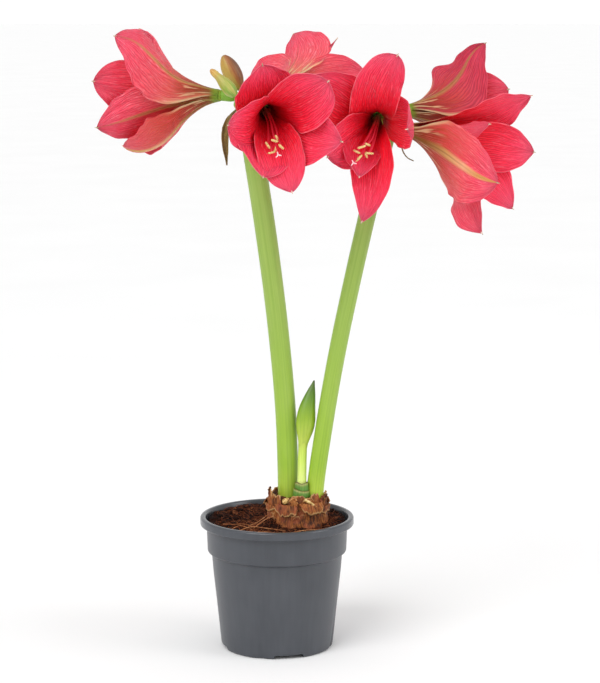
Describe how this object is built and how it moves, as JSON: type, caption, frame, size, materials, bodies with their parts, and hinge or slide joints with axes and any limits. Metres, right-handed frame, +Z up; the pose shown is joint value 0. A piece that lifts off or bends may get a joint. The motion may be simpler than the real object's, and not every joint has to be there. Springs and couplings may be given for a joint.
{
  "type": "potted amaryllis",
  "caption": "Amaryllis bulb in a round nursery pot, with two leafless flower stalks carrying heads of large open trumpet flowers, closed buds and a young bud stalk.",
  "frame": {"origin": "middle of the flat pad under the pot, at the level that it stands on", "axes": "+Z up along the pot's axis; -Y towards the front, where the front flower looks; +X to the right as seen from the front"},
  "size_m": [0.3615, 0.264, 0.5212],
  "materials": {
    "pot_plastic": "thin injection-moulded grey nursery plastic, satin, with dust and light edges on the rolled rim",
    "coir_soil": "damp dark reddish-brown peat and coir with loose fibres",
    "bulb_scales": "dry papery tunic scales, brown to ochre, with pale cut edges round the neck",
    "green_stem": "smooth waxy light green flower stalk with fine lengthwise lines",
    "olive_bud": "closed bud, olive brown with a reddish flush",
    "green_bud": "closed young bud, yellow green with a yellowish blunt tip",
    "dry_spathe": "withered brown papery spathe leaf, curled and translucent at the edge",
    "petal_coral": "velvety coral red petals, paler pink at the edge and outside, with fine lengthwise veins, a yellow-green midrib outside and a dark red throat",
    "stamen_red": "smooth red filaments with cream-yellow anthers and a pale three-lobed stigma"
  },
  "bodies": {
    "root": {"pot": "pot_plastic", "growing_medium": "coir_soil", "bulb": "bulb_scales", "scape_left": "green_stem", "scape_right": "green_stem", "scape_young": "green_stem", "bud_large": "olive_bud", "bud_small": "green_bud", "spathe_left": "dry_spathe", "spathe_right": "dry_spathe", "bloom_left": "petal_coral", "bloom_front_left": "petal_coral", "bloom_back": "petal_coral", "bloom_front_right": "petal_coral", "bloom_upper_right": "petal_coral", "bloom_lower_right": "petal_coral", "stamens_left": "stamen_red", "stamens_front_left": "stamen_red", "stamens_back": "stamen_red", "stamens_front_right": "stamen_red", "stamens_upper_right": "stamen_red", "stamens_lower_right": "stamen_red"}
  },
  "joints": []
}
